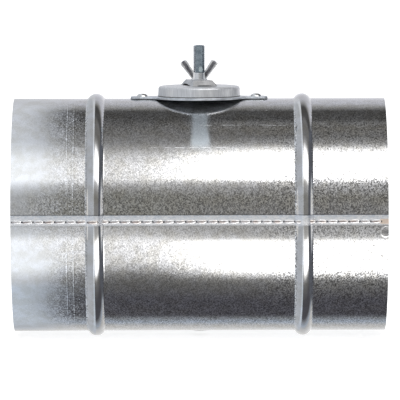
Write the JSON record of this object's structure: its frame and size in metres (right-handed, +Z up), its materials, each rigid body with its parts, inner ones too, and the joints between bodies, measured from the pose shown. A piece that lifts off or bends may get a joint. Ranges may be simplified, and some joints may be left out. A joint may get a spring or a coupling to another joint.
{
  "type": "volume control damper",
  "caption": "Short round galvanised duct piece with a bead near each end, a butterfly blade inside and a wing nut head on top that turns and locks the blade.",
  "frame": {"origin": "centre of the inlet mouth, on the axis of the tube", "axes": "+X along the tube from inlet to outlet, +Z up the spindle towards the wing nut, lap seam on the -Y side"},
  "size_m": [0.198, 0.1299, 0.1559],
  "materials": {
    "galvanised_sheet": "bright spangle-free galvanised sheet, satin",
    "drawn_zinc_cap": "drawn zinc-coated sheet, satin, with fine upright draw marks",
    "spring_steel": "zinc-plated spring steel, dull",
    "zinc_plate": "bright zinc plate",
    "blue_zinc": "blue-passivated zinc plate, satin",
    "rivet_steel": "plated steel",
    "rivet_aluminium": "satin",
    "nylon": "natural nylon",
    "seal_rubber": "matt black rubber"
  },
  "bodies": {
    "duct": {"duct_shell": "galvanised_sheet", "base_plate": "galvanised_sheet", "plate_rivets": "rivet_aluminium", "rivet_mandrels": "rivet_steel", "upper_bush": "nylon", "spindle_seal": "seal_rubber", "lower_bush": "nylon", "friction_disc": "galvanised_sheet"},
    "blade_set": {"dial_cap": "drawn_zinc_cap", "stop_arm": "galvanised_sheet", "spring_saddle": "spring_steel", "spindle": "blue_zinc", "upper_thrust_washer": "nylon", "upper_blade_rivets": "rivet_steel", "blade": "galvanised_sheet", "lower_blade_rivets": "rivet_steel", "lower_pivot": "blue_zinc", "lower_thrust_washer": "nylon"},
    "nut_carrier": {"nut_washer": "zinc_plate"},
    "nut": {"wing_nut": "zinc_plate"}
  },
  "joints": [
    {"name": "blade_turn", "type": "hinge", "parent": "duct", "child": "blade_set", "pos_m": [0.099, 0, 0], "axis": [0, 0, 1], "range_deg": [0, 90]},
    {"name": "nut_lift", "type": "slide", "parent": "blade_set", "child": "nut_carrier", "axis": [0, 0, 1], "range_m": [0, 0.001]},
    {"name": "nut_spin", "type": "hinge", "parent": "nut_carrier", "child": "nut", "pos_m": [0.099, 0, 0], "axis": [0, 0, 1], "range_deg": [0, 360]}
  ],
  "couplings": [
    {"joint": "nut_spin", "follows": "nut_lift", "rad_per_m": 6283.2}
  ]
}
